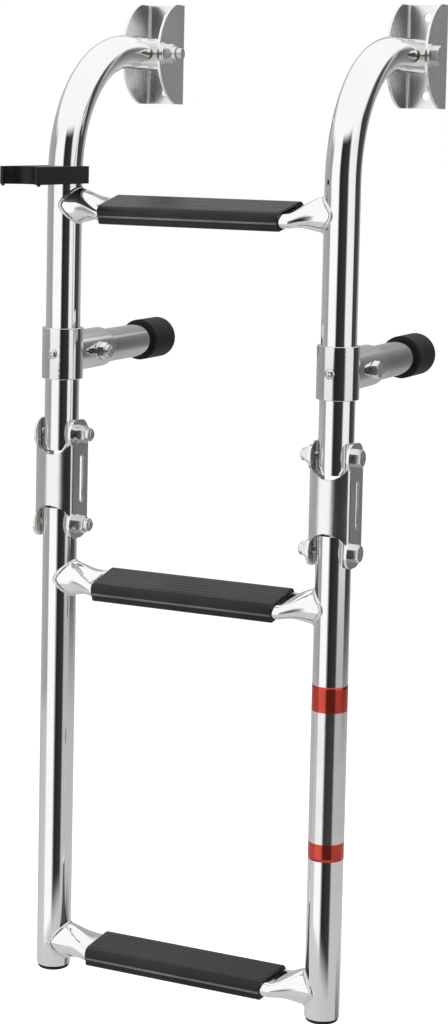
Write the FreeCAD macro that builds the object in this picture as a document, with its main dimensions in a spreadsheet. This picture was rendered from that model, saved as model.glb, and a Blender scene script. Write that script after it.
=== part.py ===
import FreeCAD, Part
import Sketcher
import math
import os
from FreeCAD import Placement, Rotation, Vector

# Folding boarding ladder for a boat's transom: two bent tube rails on swivel brackets,
# three flattened tube treads with ribbed covers, two clamped standoffs, a storage clip
# and a lower section that folds up over two slotted hinge brackets.
# Origin: centre of the left mounting bracket's back face. +X runs along the treads to the
# right rail, -Y points to the climber, +Z is up.

os.makedirs("parts", exist_ok=True)
doc = FreeCAD.newDocument("boat_ladder")

# Driving dimensions, in millimetres
driving = {
    # rails
    "tube_diameter": 25.4,
    "tube_wall": 1.2,
    "rail_spacing": 220.0,
    "bend_radius": 93.0,
    "rail_setback": 124.0,
    "arm_tail": 18.0,
    "rail_end_margin": 12.0,
    "foot_drop": 18.8,
    # levels below the arms
    "top_tread_drop": 114.5,
    "tread_pitch": 276.6,
    "hinge_drop": 283.3,
    "hinge_bolt_spacing": 67.2,
    "standoff_drop": 223.9,
    "clip_rise": 22.0,
    # mounting brackets
    "pivot_setback": 37.5,
    "mount_height": 77.6,
    "mount_depth": 45.5,
    "mount_ear_radius": 40.3,
    "mount_plate": 2.0,
    "mount_bend": 3.6,
    "screw_spacing": 58.8,
    "screw_hole": 6.6,
    # hinge brackets
    "hinge_plate": 2.0,
    "hinge_lobe_radius": 10.5,
    "hinge_lobe_front": 14.6,
    "hinge_lobe_root": 9.5,
    "hinge_lobe_sweep": 12.0,
    "hinge_back": 13.2,
    "hinge_bend": 3.6,
    "hinge_web_front": 16.2,
    "hinge_web_radius": 24.0,
    "hinge_web_height": 38.0,
    "hinge_web_scoop": 16.4,
    "slot_length": 35.5,
    "slot_width": 5.8,
    "slot_offset": 4.0,
    # treads
    "tread_thickness": 15.0,
    "tread_sink": 2.3,
    "tread_taper": 21.3,
    "tread_round_length": 1.0,
    "tread_round_flat": 0.1,
    # tread covers
    "cover_margin": 2.0,
    "cover_wall": 2.3,
    "cover_top": 3.3,
    "cover_nose": 3.8,
    "cover_hook": 9.0,
    "rib_pitch": 2.9,
    "rib_width": 1.4,
    "rib_height": 0.4,
    # standoffs
    "collar_wall": 2.4,
    "collar_height": 37.8,
    "collar_round": 0.6,
    "socket_wall": 2.1,
    "socket_length": 56.0,
    "socket_round": 1.4,
    "standoff_bolt_setback": 30.0,
    "standoff_reach": 156.0,
    "arm_insert": 16.0,
    "tip_diameter": 31.6,
    "tip_length": 33.8,
    "tip_end": 9.0,
    "tip_round": 2.4,
    # storage clip
    "clip_height": 12.7,
    "clip_width": 32.4,
    "clip_rear": 8.0,
    "clip_mouth": 22.0,
    "clip_round": 2.0,
    "clip_nub_diameter": 2.4,
    "clip_nub_length": 1.2,
    "clip_nub_setback": 3.0,
    # foot plugs
    "plug_rim": 3.0,
    "plug_insert": 16.0,
    "plug_inset": 0.9,
    "plug_round": 1.0,
    # fasteners
    "pivot_bolt_diameter": 7.94,
    "pivot_hex": 12.7,
    "pivot_head": 6.0,
    "pivot_nut": 10.2,
    "pivot_washer": 1.5,
    "pivot_washer_diameter": 17.0,
    "pivot_tail": 4.5,
    "hinge_bolt_diameter": 6.35,
    "hinge_hex": 11.1,
    "hinge_head": 4.9,
    "hinge_nut": 9.2,
    "hinge_tail": 1.4,
    "crown_slope": 1.7,
    "nut_flange": 1.4,
    "nut_flange_share": 1.24,
    "nut_hex_share": 0.7,
    "nut_ring_share": 0.88,
    "set_screw_head": 7.4,
    "set_screw_dome": 2.6,
    "set_screw_crown": 4.7,
    "set_screw_shank": 4.2,
    "recess_length": 4.0,
    "recess_width": 0.9,
    "recess_depth": 1.2,
    # clearances
    "mount_gap": 1.8,
    "hinge_gap": 0.8,
    "running_gap": 0.07,
    "fit_gap": 0.1,
    "jaw_gap": 0.35,
}

sheet = doc.addObject("Spreadsheet::Sheet", "size")
for row, (alias, length) in enumerate(driving.items(), start=1):
    sheet.set(f"A{row}", alias)
    sheet.set(f"B{row}", str(length))
    sheet.setAlias(f"B{row}", alias)
doc.recompute()

# Places and radii that several pieces share, as expressions on the driving dimensions
tubeRadius = "size.tube_diameter / 2"
boreRadius = "(size.tube_diameter / 2 - size.tube_wall)"
railLine = "(-size.pivot_setback - size.rail_setback)"
pivotLine = "(-size.pivot_setback)"
upperHinge = "(-size.hinge_drop)"
lowerHinge = "(-size.hinge_drop - size.hinge_bolt_spacing)"
hingeMiddle = "(-size.hinge_drop - size.hinge_bolt_spacing / 2)"
topTread = "(-size.top_tread_drop)"
middleTread = "(-size.top_tread_drop - size.tread_pitch)"
bottomTread = "(-size.top_tread_drop - 2 * size.tread_pitch)"
railFoot = "(-size.top_tread_drop - 2 * size.tread_pitch - size.foot_drop)"
mountInner = "(size.tube_diameter / 2 + size.mount_gap)"
mountOuter = "(size.tube_diameter / 2 + size.mount_gap + size.mount_plate)"
hingeInner = "(size.tube_diameter / 2 + size.hinge_gap)"
hingeOuter = "(size.tube_diameter / 2 + size.hinge_gap + size.hinge_plate)"
collarRadius = "(size.tube_diameter / 2 + size.fit_gap + size.collar_wall)"
socketRadius = "(size.tube_diameter / 2 + size.fit_gap + size.socket_wall)"
treadDepth = "(size.tread_thickness + (size.tube_diameter - size.tread_thickness) * pi / 2)"
treadRound = "(size.rail_spacing / 2 - size.tube_diameter / 2 - size.tread_round_length)"
treadFlat = "(size.rail_spacing / 2 - size.tube_diameter / 2 - size.tread_round_length - size.tread_taper)"
clipLevel = "(-size.top_tread_drop + size.clip_rise)"
sides = {"left": ("0", 1), "right": ("size.rail_spacing", -1)}


def number(expression):
    """Value of an expression on the sheet."""
    return float(sheet.evalExpression(expression))


def origin_plane(body, role):
    return next(plane for plane in body.Origin.OriginFeatures if plane.Role == role)


def new_body(label, x="0", y="0", z="0"):
    """Body whose place is bound to the sheet."""
    body = doc.addObject("PartDesign::Body", label)
    place(body, x, y, z)
    return body


def place(thing, x, y, z, rotation=None):
    thing.Placement = Placement(Vector(number(x), number(y), number(z)), rotation or Rotation())
    for axis, expression in (("x", x), ("y", y), ("z", z)):
        thing.setExpression(f"Placement.Base.{axis}", expression)


def new_sketch(body, role, name, offset="0"):
    """Sketch on one of the body's own origin planes, moved along its normal."""
    sketch = body.newObject("Sketcher::SketchObject", f"{body.Name}_{name}")
    sketch.AttachmentSupport = (origin_plane(body, role), "")
    sketch.MapMode = "FlatFace"
    if offset != "0":
        sketch.setExpression("AttachmentOffset.Base.z", offset)
    return sketch


def measure(sketch, constraint, expression):
    index = sketch.addConstraint(constraint)
    sketch.setExpression(f"Constraints[{index}]", expression)


def pin(sketch, geometry, end, x, y):
    """Hold one point of a sketch geometry at (x, y)."""
    for kind, expression in (("DistanceX", x), ("DistanceY", y)):
        measure(sketch, Sketcher.Constraint(kind, -1, 1, geometry, end, number(expression)), expression)


def circle(sketch, x, y, radius):
    shape = Part.Circle(Vector(number(x), number(y), 0), Vector(0, 0, 1), number(radius))
    geometry = sketch.addGeometry(shape, False)
    pin(sketch, geometry, 3, x, y)
    measure(sketch, Sketcher.Constraint("Radius", geometry, number(radius)), radius)


def arc_between(start, end, radius, turn):
    """Minor arc from start to end; turn is 1 for anticlockwise and -1 for clockwise travel."""
    half = (end - start) * 0.5
    rise = math.sqrt(max(radius ** 2 - half.Length ** 2, 0.0))
    across = Vector(-half.y, half.x, 0).normalize()
    centre = start + half + across * rise * turn
    first, last = (start, end) if turn > 0 else (end, start)
    angles = [math.atan2(point.y - centre.y, point.x - centre.x) for point in (first, last)]
    return Part.ArcOfCircle(Part.Circle(centre, Vector(0, 0, 1), radius), *angles)


def outline(sketch, corners, closed=True):
    """Lines and arcs through corners (x, y); a corner that starts an arc adds its radius and turn."""
    count = len(corners)
    points = [Vector(number(corner[0]), number(corner[1]), 0) for corner in corners]
    edges = []
    for i in range(count if closed else count - 1):
        start, end = points[i], points[(i + 1) % count]
        if len(corners[i]) == 2:
            geometry = sketch.addGeometry(Part.LineSegment(start, end), False)
            edges.append((geometry, 1, 2))
        else:
            radius, turn = corners[i][2:]
            geometry = sketch.addGeometry(arc_between(start, end, number(radius), turn), False)
            edges.append((geometry, 1, 2) if turn > 0 else (geometry, 2, 1))
    for i, (geometry, first, last) in enumerate(edges):
        pin(sketch, geometry, first, *corners[i][:2])
        if i + 1 < len(edges) or closed:
            following = edges[(i + 1) % len(edges)]
            sketch.addConstraint(Sketcher.Constraint("Coincident", geometry, last, following[0], following[1]))
        else:
            pin(sketch, geometry, last, *corners[i + 1][:2])
    for i, (geometry, first, last) in enumerate(edges):
        if len(corners[i]) == 4:
            radius = corners[i][2]
            measure(sketch, Sketcher.Constraint("Radius", geometry, number(radius)), radius)


def pad(sketch, length, symmetric=False, reverse=False):
    return extrude("PartDesign::Pad", sketch, length, symmetric, reverse)


def pocket(sketch, length, symmetric=False, reverse=False):
    """Cut that has to take something away."""
    body = sketch.getParentGeoFeatureGroup()
    before = body.Shape.Volume
    feature = extrude("PartDesign::Pocket", sketch, length, symmetric, reverse)
    if body.Shape.Volume > before - 0.01:
        raise RuntimeError(f"{feature.Name} cuts nothing")
    return feature


def extrude(kind, sketch, length, symmetric, reverse):
    body = sketch.getParentGeoFeatureGroup()
    feature = body.newObject(kind, f"{sketch.Name}_{kind[12:].lower()}")
    feature.Profile = sketch
    feature.setExpression("Length", length)
    feature.Midplane = symmetric
    feature.Reversed = reverse
    doc.recompute()
    return feature


def fillet(body, radius, chosen):
    """Round the edges for which chosen(edge) is true."""
    names = [f"Edge{i + 1}" for i, edge in enumerate(body.Shape.Edges) if chosen(edge)]
    if not names:
        raise RuntimeError(f"{body.Label} has no such edge")
    base = body.Tip
    feature = body.newObject("PartDesign::Fillet", f"{body.Name}_round")
    feature.Base = (base, names)
    feature.setExpression("Radius", radius)
    doc.recompute()
    return feature


def tube(sketch, path):
    """Pipe with the sketch as its section and the path sketch as its centre line."""
    body = sketch.getParentGeoFeatureGroup()
    feature = body.newObject("PartDesign::AdditivePipe", f"{body.Name}_pipe")
    feature.Profile = sketch
    feature.Spine = (path, [f"Edge{i + 1}" for i in range(path.GeometryCount)])
    doc.recompute()
    return feature


# Rails

def upper_rail(side):
    """Rail that rises from the hinge, bends back through a quarter turn and runs to the pivot."""
    body = new_body(f"{side}_upper_rail", sides[side][0], railLine, "0")
    end = f"({upperHinge} - size.rail_end_margin)"
    section = new_sketch(body, "XY_Plane", "section", end)
    circle(section, "0", "0", tubeRadius)
    circle(section, "0", "0", boreRadius)
    path = new_sketch(body, "YZ_Plane", "path")
    outline(path, [
        ("0", end),
        ("0", "-size.bend_radius", "size.bend_radius", -1),
        ("size.bend_radius", "0"),
        ("size.rail_setback + size.arm_tail", "0"),
    ], closed=False)
    tube(section, path)
    holes = new_sketch(body, "YZ_Plane", "bolt_holes")
    circle(holes, "size.rail_setback", "0", "size.pivot_bolt_diameter / 2 + size.running_gap")
    circle(holes, "0", upperHinge, "size.hinge_bolt_diameter / 2 + size.running_gap")
    pocket(holes, "size.tube_diameter * 2", symmetric=True)
    return body


def lower_rail(side):
    body = new_body(f"{side}_lower_rail", sides[side][0], railLine, "0")
    section = new_sketch(body, "XY_Plane", "section", railFoot)
    circle(section, "0", "0", tubeRadius)
    circle(section, "0", "0", boreRadius)
    pad(section, f"{lowerHinge} + size.rail_end_margin - {railFoot}")
    holes = new_sketch(body, "YZ_Plane", "bolt_hole")
    circle(holes, "0", lowerHinge, "size.hinge_bolt_diameter / 2 + size.running_gap")
    pocket(holes, "size.tube_diameter * 2", symmetric=True)
    return body


def foot_plug(side):
    """Plastic plug: a rim under the tube's end and an insert inside it."""
    body = new_body(f"{side}_foot_plug", sides[side][0], railLine, railFoot)
    rim = new_sketch(body, "XY_Plane", "rim")
    circle(rim, "0", "0", f"{tubeRadius} - size.plug_inset")
    pad(rim, "size.plug_rim", reverse=True)
    insert = new_sketch(body, "XY_Plane", "insert")
    circle(insert, "0", "0", f"{boreRadius} - size.fit_gap")
    pad(insert, "size.plug_insert")
    low = number(f"{railFoot} - size.plug_rim") + 0.01
    fillet(body, "size.plug_round", lambda edge: edge.BoundBox.ZMax < low)
    return body


# Mounting brackets

def mounting_bracket(side):
    """Folded channel: a back plate with two screw holes between two round-nosed ears."""
    body = new_body(f"{side}_mounting_bracket", sides[side][0])
    inner, outer, plate = mountInner, mountOuter, "size.mount_plate"
    bend, crease = "size.mount_bend", "(size.mount_bend - size.mount_plate)"
    channel = new_sketch(body, "XY_Plane", "channel")
    outline(channel, [
        (f"-{outer}", "-size.mount_depth"),
        (f"-{inner}", "-size.mount_depth"),
        (f"-{inner}", f"-{bend}", crease, -1),
        (f"-{outer} + {bend}", f"-{plate}"),
        (f"{outer} - {bend}", f"-{plate}", crease, -1),
        (inner, f"-{bend}"),
        (inner, "-size.mount_depth"),
        (outer, "-size.mount_depth"),
        (outer, f"-{bend}", bend, 1),
        (f"{outer} - {bend}", "0"),
        (f"-{outer} + {bend}", "0", bend, 1),
        (f"-{outer}", f"-{bend}"),
    ])
    pad(channel, "size.mount_height", symmetric=True)

    half = "(size.mount_height / 2)"
    centre = "(size.mount_ear_radius - size.mount_depth)"
    flat = f"({centre} - sqrt(size.mount_ear_radius ^ 2 - {half} ^ 2))"
    for name, sign, turn in (("upper_nose", "", -1), ("lower_nose", "-", 1)):
        nose = new_sketch(body, "YZ_Plane", name)
        outline(nose, [
            ("-size.mount_depth", "0", "size.mount_ear_radius", turn),
            (flat, f"{sign}{half}"),
            (flat, f"{sign}({half} + size.mount_plate)"),
            ("-size.mount_depth - size.mount_plate", f"{sign}({half} + size.mount_plate)"),
            ("-size.mount_depth - size.mount_plate", "0"),
        ])
        pocket(nose, f"{outer} * 2 + size.mount_plate", symmetric=True)
    bolt = new_sketch(body, "YZ_Plane", "bolt_hole")
    circle(bolt, pivotLine, "0", "size.pivot_bolt_diameter / 2 + size.running_gap")
    pocket(bolt, f"{outer} * 2 + size.mount_plate", symmetric=True)
    screws = new_sketch(body, "XZ_Plane", "screw_holes")
    for sign in ("", "-"):
        circle(screws, "0", f"{sign}size.screw_spacing / 2", "size.screw_hole / 2")
    pocket(screws, "size.mount_plate * 4", symmetric=True)
    return body


# Hinge brackets

def hinge_bracket(side):
    """Formed plate: a curved front web bent back into two slotted side plates with round lobes."""
    body = new_body(f"{side}_hinge_bracket", sides[side][0], railLine, hingeMiddle)
    inner, outer, back = hingeInner, hingeOuter, "size.hinge_back"
    web, bend, plate = "size.hinge_web_radius", "size.hinge_bend", "size.hinge_plate"
    web_centre = f"({web} - size.hinge_web_front)"
    fold = f"({web_centre} - sqrt(({web} - {bend}) ^ 2 - ({outer} - {bend}) ^ 2))"
    share = f"(({outer} - {bend}) / ({web} - {bend}))"
    lean = f"(({fold} - {web_centre}) / ({web} - {bend}))"
    skin, crook = f"({web} - {plate})", f"({bend} - {plate})"
    wide, level = f"({web} * {share})", f"({web_centre} + {web} * {lean})"
    near, depth = f"({skin} * {share})", f"({web_centre} + {skin} * {lean})"
    half_web = "(size.hinge_web_height / 2)"
    edge = f"({half_web} + size.hinge_web_scoop - sqrt(size.hinge_web_scoop ^ 2 - {inner} ^ 2))"
    channel = new_sketch(body, "XY_Plane", "channel")
    outline(channel, [
        (f"-{outer}", back),
        (f"-{outer}", fold, bend, 1),
        (f"-{wide}", level, web, 1),
        (wide, level, bend, 1),
        (outer, fold),
        (outer, back),
        (inner, back),
        (inner, fold, crook, -1),
        (near, depth, skin, -1),
        (f"-{near}", depth, crook, -1),
        (f"-{inner}", fold),
        (f"-{inner}", back),
    ])
    pad(channel, f"2 * {edge}", symmetric=True)
    for name, sign, turn in (("upper_scoop", "", 1), ("lower_scoop", "-", -1)):
        scoop = new_sketch(body, "XZ_Plane", name)
        outline(scoop, [
            (f"-{inner}", f"{sign}{edge}", "size.hinge_web_scoop", turn),
            (inner, f"{sign}{edge}"),
            (inner, f"{sign}({edge} + {plate})"),
            (f"-{inner}", f"{sign}({edge} + {plate})"),
        ])
        pocket(scoop, "size.hinge_web_radius * 2", reverse=True)

    lobe, bolt, sweep = "size.hinge_lobe_radius", "(size.hinge_bolt_spacing / 2)", "size.hinge_lobe_sweep"
    front = "(-size.hinge_lobe_front)"
    root, crest = f"({bolt} - size.hinge_lobe_root)", f"({bolt} + {lobe})"
    for name, offset in (("left_plate", f"-{outer}"), ("right_plate", inner)):
        wing = new_sketch(body, "YZ_Plane", name, offset)
        outline(wing, [
            (fold, f"-{root}"),
            (fold, root, sweep, -1),
            (front, bolt, lobe, -1),
            (f"{front} + {lobe}", crest),
            (f"{back} - {lobe}", crest, lobe, -1),
            (back, bolt),
            (back, f"-{bolt}", lobe, -1),
            (f"{back} - {lobe}", f"-{crest}"),
            (f"{front} + {lobe}", f"-{crest}", lobe, -1),
            (front, f"-{bolt}", sweep, -1),
        ])
        pad(wing, plate)

    holes = new_sketch(body, "YZ_Plane", "bolt_holes")
    for sign in ("", "-"):
        circle(holes, "0", f"{sign}{bolt}", "size.hinge_bolt_diameter / 2 + size.running_gap")
    pocket(holes, f"{outer} * 2 + size.hinge_plate", symmetric=True)
    slot = new_sketch(body, "YZ_Plane", "slot")
    wide = "(size.slot_width / 2)"
    reach = "(size.slot_length / 2 - size.slot_width / 2)"
    outline(slot, [
        (f"size.slot_offset - {wide}", reach),
        (f"size.slot_offset - {wide}", f"-{reach}", wide, 1),
        ("size.slot_offset", f"-{reach} - {wide}", wide, 1),
        (f"size.slot_offset + {wide}", f"-{reach}"),
        (f"size.slot_offset + {wide}", reach, wide, 1),
        ("size.slot_offset", f"{reach} + {wide}", wide, 1),
    ])
    pocket(slot, f"{outer} * 2 + size.hinge_plate", symmetric=True)
    return body


# Treads

def rounded_section(body, name, offset, half_depth, half_height, level="0"):
    """Upright section across the tread whose front and back are nearly half round."""
    sketch = new_sketch(body, "YZ_Plane", name, offset)
    depth, corner = f"({half_depth})", f"({half_height} - size.tread_round_flat)"
    top, bottom = f"({level} + {half_height})", f"({level} - {half_height})"
    outline(sketch, [
        (f"{depth} - {corner}", bottom, corner, 1),
        (depth, f"{bottom} + {corner}"),
        (depth, f"{top} - {corner}", corner, 1),
        (f"{depth} - {corner}", top),
        (f"-{depth} + {corner}", top, corner, 1),
        (f"-{depth}", f"{top} - {corner}"),
        (f"-{depth}", f"{bottom} + {corner}", corner, 1),
        (f"-{depth} + {corner}", bottom),
    ])
    return sketch


def tread(label, level):
    """Tube pressed flat along the middle, left round at both ends and coped to the rails."""
    body = new_body(label, "size.rail_spacing / 2", railLine, level)
    shrink = {"": "0", "inner_": "size.tube_wall"}
    for layer, wall in shrink.items():
        kind = "Additive" if layer == "" else "Subtractive"
        flat_size = (f"{treadDepth} / 2 - {wall}", f"(size.tread_thickness / 2 - {wall})", "-size.tread_sink")
        round_size = (f"{tubeRadius} - {wall}", f"({tubeRadius} - {wall})")
        middle = rounded_section(body, f"{layer}flat", "0", *flat_size)
        if layer == "":
            pad(middle, f"{treadFlat} * 2", symmetric=True)
        else:
            pocket(middle, f"{treadFlat} * 2", symmetric=True)
        for end, sign in (("left", "-"), ("right", "")):
            near = rounded_section(body, f"{layer}{end}_near", f"{sign}{treadFlat}", *flat_size)
            far = rounded_section(body, f"{layer}{end}_far", f"{sign}{treadRound}", *round_size)
            taper = body.newObject(f"PartDesign::{kind}Loft", f"{body.Name}_{layer}{end}_taper")
            taper.Profile = near
            taper.Sections = [far]
            taper.Ruled = True
            doc.recompute()
            stub = new_sketch(body, "YZ_Plane", f"{layer}{end}_stub", f"{sign}{treadRound}")
            circle(stub, "0", "0", f"{tubeRadius} - {wall}")
            if layer == "":
                pad(stub, "size.tread_round_length + size.tube_diameter / 2", reverse=sign == "-")
            else:
                pocket(stub, "size.tread_round_length + size.tube_diameter / 2", reverse=sign == "")
    cope = new_sketch(body, "XY_Plane", "cope")
    for sign in ("", "-"):
        circle(cope, f"{sign}size.rail_spacing / 2", "0", f"{tubeRadius} + size.fit_gap")
    pocket(cope, "size.tube_diameter * 2", symmetric=True)
    return body


def tread_cover(label, level):
    """Extruded cover with a round nose, ribs on its top and two lips that grip under the tread."""
    body = new_body(label, "size.rail_spacing / 2", railLine, level)
    rise = "(size.tread_thickness / 2 + size.fit_gap)"
    seat = f"({treadDepth} / 2 + size.fit_gap)"
    roof, floor = f"({rise} - size.tread_sink)", f"(-{rise} - size.tread_sink)"
    bend = f"({rise} - size.tread_round_flat)"
    top, bottom = f"({roof} + size.cover_top)", f"({floor} - size.cover_wall)"
    nose = f"(({top} - {bottom}) / 2)"
    middle = f"(({top} + {bottom}) / 2)"
    face = f"({seat} + size.cover_nose)"
    flat = f"({face} - {nose})"
    lip = f"({seat} - size.cover_hook)"
    section = new_sketch(body, "YZ_Plane", "section")
    outline(section, [
        (f"-{flat}", top, nose, 1),
        (f"-{face}", middle, nose, 1),
        (f"-{flat}", bottom),
        (f"-{lip}", bottom),
        (f"-{lip}", floor),
        (f"-{seat} + {bend}", floor, bend, -1),
        (f"-{seat}", f"{floor} + {bend}"),
        (f"-{seat}", f"{roof} - {bend}", bend, -1),
        (f"-{seat} + {bend}", roof),
        (f"{seat} - {bend}", roof, bend, -1),
        (seat, f"{roof} - {bend}"),
        (seat, f"{floor} + {bend}", bend, -1),
        (f"{seat} - {bend}", floor),
        (lip, floor),
        (lip, bottom),
        (flat, bottom, nose, 1),
        (face, middle, nose, 1),
        (flat, top),
    ])
    length = f"2 * ({treadFlat} - size.cover_margin)"
    pad(section, length, symmetric=True)

    ribs = new_sketch(body, "YZ_Plane", "ribs")
    count = int(number(f"2 * {flat} / size.rib_pitch"))
    for i in range(count + 1):
        ridge = f"(({i} - {count / 2}) * size.rib_pitch)"
        outline(ribs, [
            (f"{ridge} - size.rib_width / 2", top),
            (f"{ridge} + size.rib_width / 2", top),
            (f"{ridge} + size.rib_width / 4", f"{top} + size.rib_height"),
            (f"{ridge} - size.rib_width / 4", f"{top} + size.rib_height"),
        ])
    pad(ribs, length, symmetric=True)
    return body


# Standoffs

def standoff_collar(side):
    """Tee fitting: a sleeve that slides on the rail and a socket that holds the arm."""
    body = new_body(f"{side}_standoff_collar", sides[side][0], railLine, "-size.standoff_drop")
    sleeve = new_sketch(body, "XY_Plane", "sleeve")
    circle(sleeve, "0", "0", collarRadius)
    pad(sleeve, "size.collar_height", symmetric=True)
    socket = new_sketch(body, "XZ_Plane", "socket")
    circle(socket, "0", "0", socketRadius)
    pad(socket, "size.socket_length", reverse=True)
    bore = new_sketch(body, "XY_Plane", "rail_bore")
    circle(bore, "0", "0", f"{tubeRadius} + size.fit_gap")
    pocket(bore, "size.collar_height * 2", symmetric=True)
    arm = new_sketch(body, "XZ_Plane", "arm_bore", "-(size.arm_insert - size.fit_gap)")
    circle(arm, "0", "0", f"{tubeRadius} + size.fit_gap")
    pocket(arm, "size.socket_length")
    bolt = new_sketch(body, "YZ_Plane", "bolt_hole")
    circle(bolt, "size.standoff_bolt_setback", "0", "size.hinge_bolt_diameter / 2 + size.running_gap")
    pocket(bolt, f"{collarRadius} * 3", symmetric=True)
    screw = new_sketch(body, "XZ_Plane", "screw_hole")
    circle(screw, "0", "0", "size.set_screw_shank / 2 + size.running_gap")
    pocket(screw, f"{collarRadius} * 2", reverse=True)
    mouth = number(f"{railLine} + size.socket_length")
    wide = {name: number(f"2 * {radius}") for name, radius in (("sleeve", collarRadius), ("socket", socketRadius))}
    fillet(body, "size.socket_round", lambda edge: (
        edge.BoundBox.YMin > mouth - 0.01 and abs(edge.BoundBox.ZLength - wide["socket"]) < 0.01))
    fillet(body, "size.collar_round", lambda edge: (
        edge.BoundBox.ZLength < 0.01 and abs(edge.BoundBox.XLength - wide["sleeve"]) < 0.01))
    return body


def standoff_arm(side):
    body = new_body(f"{side}_standoff_arm", sides[side][0], railLine, "-size.standoff_drop")
    section = new_sketch(body, "XZ_Plane", "section", "-size.arm_insert")
    circle(section, "0", "0", tubeRadius)
    circle(section, "0", "0", boreRadius)
    pad(section, "size.standoff_reach - size.tip_end - size.arm_insert", reverse=True)
    bolt = new_sketch(body, "YZ_Plane", "bolt_hole")
    circle(bolt, "size.standoff_bolt_setback", "0", "size.hinge_bolt_diameter / 2 + size.running_gap")
    pocket(bolt, f"{collarRadius} * 3", symmetric=True)
    return body


def standoff_tip(side):
    """Rubber cap over the arm's end, which rests on the hull."""
    body = new_body(f"{side}_standoff_tip", sides[side][0], railLine, "-size.standoff_drop")
    section = new_sketch(body, "XZ_Plane", "cap", "-(size.standoff_reach - size.tip_length)")
    circle(section, "0", "0", "size.tip_diameter / 2")
    pad(section, "size.tip_length", reverse=True)
    bore = new_sketch(body, "XZ_Plane", "bore", "-(size.standoff_reach - size.tip_length)")
    circle(bore, "0", "0", f"{tubeRadius} + size.fit_gap")
    pocket(bore, "size.tip_length - size.tip_end + size.fit_gap", reverse=False)
    far = number("size.standoff_reach") + number(railLine)
    fillet(body, "size.tip_round", lambda edge: edge.BoundBox.YMin > far - 0.01)
    return body


# Storage clip

def rail_clip():
    """Moulded block: it grips the left rail and cradles the folded lower rail in front of it."""
    body = new_body("rail_clip", "0", railLine, clipLevel)
    half = "(size.clip_width / 2)"
    front, rear = "(-size.hinge_bolt_spacing)", "size.clip_rear"
    grip, jaw = f"({tubeRadius} + size.fit_gap)", f"({tubeRadius} + size.jaw_gap)"
    mouth = "(size.clip_mouth / 2)"
    throat = f"sqrt({grip} ^ 2 - {mouth} ^ 2)"
    plan = new_sketch(body, "XY_Plane", "plan")
    outline(plan, [
        (f"-{half}", rear),
        (f"-{half}", front),
        (f"-{jaw}", front, jaw, -1),
        ("0", f"{front} + {jaw}", jaw, -1),
        (jaw, front),
        (half, front),
        (half, rear),
        (mouth, rear),
        (mouth, throat, grip, -1),
        (grip, "0", grip, -1),
        ("0", f"-{grip}", grip, -1),
        (f"-{grip}", "0", grip, -1),
        (f"-{mouth}", throat),
        (f"-{mouth}", rear),
    ])
    pad(plan, "size.clip_height", symmetric=True)
    low = number(f"{railLine} + {front}") + 0.01
    high = number(f"{railLine} + {rear}") - 0.01
    wide = number(half)

    def outer_corner(edge):
        upright = edge.BoundBox.ZLength > number("size.clip_height") - 0.01
        at_end = edge.BoundBox.YMax < low or edge.BoundBox.YMin > high
        return upright and at_end and abs(abs(edge.BoundBox.XMax) - wide) < 0.01
    fillet(body, "size.clip_round", outer_corner)
    nubs = new_sketch(body, "XY_Plane", "nubs", "-size.clip_height / 2")
    for sign in ("", "-"):
        circle(nubs, f"{sign}({half} + {jaw}) / 2", f"{front} + size.clip_nub_setback", "size.clip_nub_diameter / 2")
    pad(nubs, "size.clip_nub_length", reverse=True)
    return body


# Fasteners: each is built along its own +Z and turned to lie along X

def hexagon(name, across, height, base="0"):
    """Hexagonal prism, sized across its flats."""
    prism = doc.addObject("Part::Prism", f"{name}_prism")
    prism.Polygon = 6
    prism.setExpression("Circumradius", f"{across} / sqrt(3)")
    prism.setExpression("Height", height)
    place(prism, "0", "0", base)
    return prism


def rod(name, radius, height, base="0"):
    cylinder = doc.addObject("Part::Cylinder", f"{name}_rod")
    cylinder.setExpression("Radius", radius)
    cylinder.setExpression("Height", height)
    place(cylinder, "0", "0", base)
    return cylinder


def combine(kind, label, base, tool):
    result = doc.addObject(kind, label)
    result.Base = base
    result.Tool = tool
    return result


def hex_bolt(label, diameter, across, head, length):
    """Bolt with its head below z = 0 and its shank above."""
    cap = hexagon(f"{label}_head", across, head, f"-{head}")
    crown = doc.addObject("Part::Cone", f"{label}_crown")
    crown.setExpression("Radius1", f"{across} / 2")
    crown.setExpression("Radius2", f"{across} / 2 + {head} * size.crown_slope")
    crown.setExpression("Height", head)
    place(crown, "0", "0", f"-{head}")
    trimmed = combine("Part::Common", f"{label}_trimmed", cap, crown)
    return combine("Part::Fuse", label, trimmed, rod(f"{label}_shank", f"{diameter} / 2", length))


def lock_nut(label, diameter, across, height):
    """Hexagon on a round flange, with a round collar for its nylon ring."""
    flange = rod(f"{label}_flange", f"{across} / 2 * size.nut_flange_share", "size.nut_flange")
    hexagonal = hexagon(f"{label}_hexagon", across, f"{height} * size.nut_hex_share")
    crown = doc.addObject("Part::Cone", f"{label}_crown")
    crown.setExpression("Radius1", f"{across} / 2 + {height} * size.nut_hex_share * size.crown_slope")
    crown.setExpression("Radius2", f"{across} / 2")
    crown.setExpression("Height", f"{height} * size.nut_hex_share")
    trimmed = combine("Part::Common", f"{label}_trimmed", hexagonal, crown)
    collar = rod(f"{label}_collar", f"{across} / 2 * size.nut_ring_share", height)
    seated = combine("Part::Fuse", f"{label}_seated", trimmed, flange)
    whole = combine("Part::Fuse", f"{label}_blank", seated, collar)
    bore = rod(f"{label}_bore", f"{diameter} / 2 + size.running_gap", height)
    return combine("Part::Cut", label, whole, bore)


def across_the_rail(thing, turn, x, offset, y, z):
    """Lay a fastener along X, its own +Z pointing to the other side, offset from the rail's axis."""
    sign = "-" if turn > 0 else "+"
    place(thing, f"{x} {sign} ({offset})", y, z, Rotation(Vector(0, 1, 0), 90 * turn))


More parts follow.
